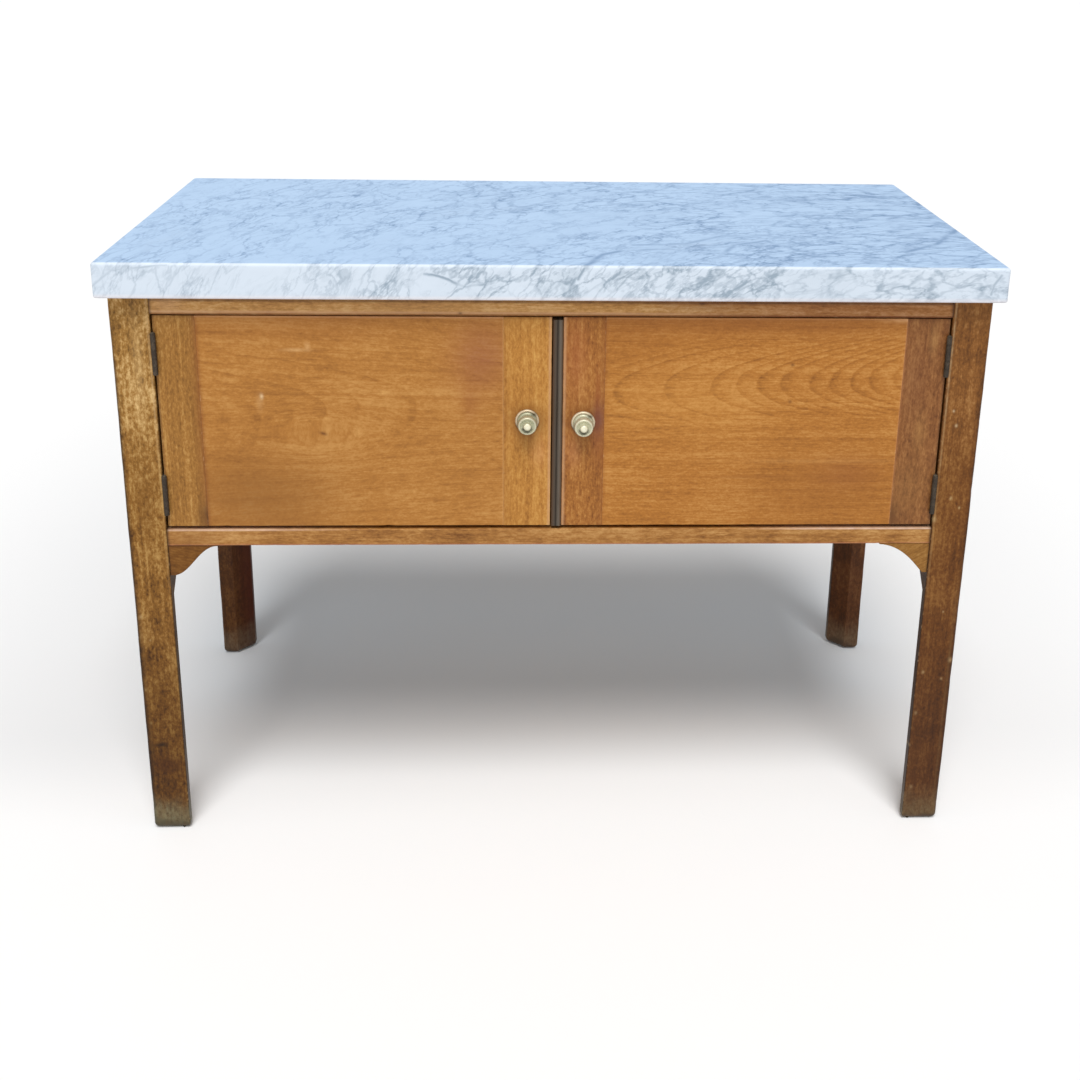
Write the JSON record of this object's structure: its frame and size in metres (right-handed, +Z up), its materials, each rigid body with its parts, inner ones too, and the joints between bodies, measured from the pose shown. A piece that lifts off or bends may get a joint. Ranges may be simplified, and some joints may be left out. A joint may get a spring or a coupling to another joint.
{
  "type": "washstand",
  "caption": "Marble-top washstand: a thick grey-veined white slab on a mahogany cupboard with two hinged doors, brass knobs and straight square legs.",
  "frame": {"origin": "on the floor, under the middle of the whole outline, which reaches from the knobs' tips to the back of the marble", "axes": "+X to the right of someone who faces the doors, +Y from the doors to the back, +Z up"},
  "size_m": [1.067, 0.5376, 0.7745],
  "materials": {
    "marble": "polished white marble with fine grey veins",
    "leg_mahogany": "worn polished mahogany, dirty at the feet",
    "rail_mahogany": "worn polished mahogany",
    "board_mahogany": "honey-coloured polished mahogany, horizontal grain",
    "clamp_mahogany": "polished mahogany, upright grain",
    "side_mahogany": "polished mahogany",
    "inner_pine": "unpolished aged pine",
    "aged_brass": "pale aged brass",
    "hinge_steel": "tarnished steel",
    "strip_metal": "dark patinated metal"
  },
  "bodies": {
    "carcass": {"marble_top": "marble", "left_front_leg": "leg_mahogany", "right_front_leg": "leg_mahogany", "left_back_leg": "leg_mahogany", "right_back_leg": "leg_mahogany", "top_front_rail": "rail_mahogany", "bottom_front_rail": "rail_mahogany", "top_back_rail": "inner_pine", "bottom_back_rail": "inner_pine", "left_bracket": "rail_mahogany", "right_bracket": "rail_mahogany", "left_side_board": "side_mahogany", "right_side_board": "side_mahogany", "back_board_1": "inner_pine", "back_board_2": "inner_pine", "back_board_3": "inner_pine", "cupboard_floor_front": "inner_pine", "cupboard_floor_back": "inner_pine", "left_floor_batten": "inner_pine", "right_floor_batten": "inner_pine", "left_top_bearer": "inner_pine", "right_top_bearer": "inner_pine", "middle_top_bearer": "inner_pine", "door_stop": "inner_pine", "left_glue_block": "inner_pine", "middle_glue_block": "inner_pine", "right_glue_block": "inner_pine", "left_top_hinge_leg_leaf": "hinge_steel", "left_top_hinge_pin": "hinge_steel", "left_bottom_hinge_leg_leaf": "hinge_steel", "left_bottom_hinge_pin": "hinge_steel", "right_top_hinge_leg_leaf": "hinge_steel", "right_top_hinge_pin": "hinge_steel", "right_bottom_hinge_leg_leaf": "hinge_steel", "right_bottom_hinge_pin": "hinge_steel"},
    "left_door": {"left_door_board": "board_mahogany", "left_door_hinge_clamp": "clamp_mahogany", "left_door_meeting_clamp": "clamp_mahogany", "left_knob_rose": "aged_brass", "left_knob": "aged_brass", "left_knob_nut": "hinge_steel", "left_top_hinge_door_leaf": "hinge_steel", "left_bottom_hinge_door_leaf": "hinge_steel"},
    "right_door": {"right_door_board": "board_mahogany", "right_door_hinge_clamp": "clamp_mahogany", "right_door_meeting_clamp": "clamp_mahogany", "right_knob_rose": "aged_brass", "right_knob": "aged_brass", "right_knob_nut": "hinge_steel", "right_top_hinge_door_leaf": "hinge_steel", "right_bottom_hinge_door_leaf": "hinge_steel", "meeting_strip": "strip_metal"}
  },
  "joints": [
    {"name": "left_door_hinge", "type": "hinge", "parent": "carcass", "child": "left_door", "pos_m": [-0.4733, -0.24785, 0.57175], "axis": [0, 0, -1], "range_deg": [0, 175]},
    {"name": "right_door_hinge", "type": "hinge", "parent": "carcass", "child": "right_door", "pos_m": [0.4733, -0.24785, 0.57175], "axis": [0, 0, 1], "range_deg": [0, 175]}
  ]
}
